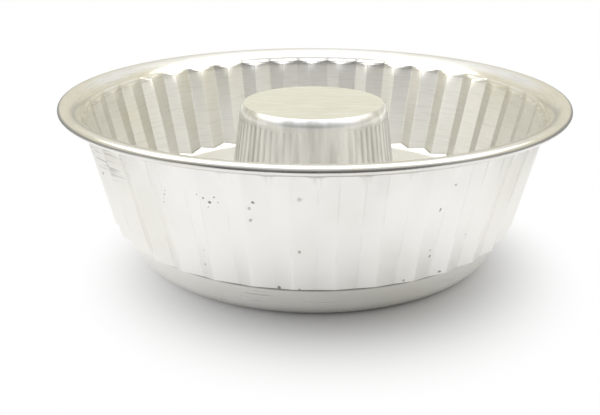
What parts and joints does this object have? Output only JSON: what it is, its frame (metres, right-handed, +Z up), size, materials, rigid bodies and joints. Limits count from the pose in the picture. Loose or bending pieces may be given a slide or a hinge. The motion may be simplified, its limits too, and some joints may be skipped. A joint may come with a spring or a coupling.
{
  "type": "mini fluted tube pan",
  "caption": "Small round aluminium cake pan with a fluted flared wall, rolled wired rim, smooth base and closed fluted centre cone with a flat top.",
  "frame": {"origin": "on the table under the middle of the pan", "axes": "+Z up along the axis of the pan, -Y towards the viewer of the picture, +X to the right"},
  "size_m": [0.15, 0.15, 0.0471],
  "materials": {
    "fluted_wall_aluminium": "bright pressed aluminium with fine level draw marks and small pits",
    "rim_wire_steel": "plain drawn wire, hidden inside the rolled rim",
    "spun_base_aluminium": "satin spun aluminium with level spinning lines",
    "cone_aluminium": "satin flat top, polished shoulder and finely fluted side"
  },
  "bodies": {
    "root": {"fluted_side_wall": "fluted_wall_aluminium", "rim_wire": "rim_wire_steel", "base_pan": "spun_base_aluminium", "centre_cone": "cone_aluminium"}
  },
  "joints": []
}
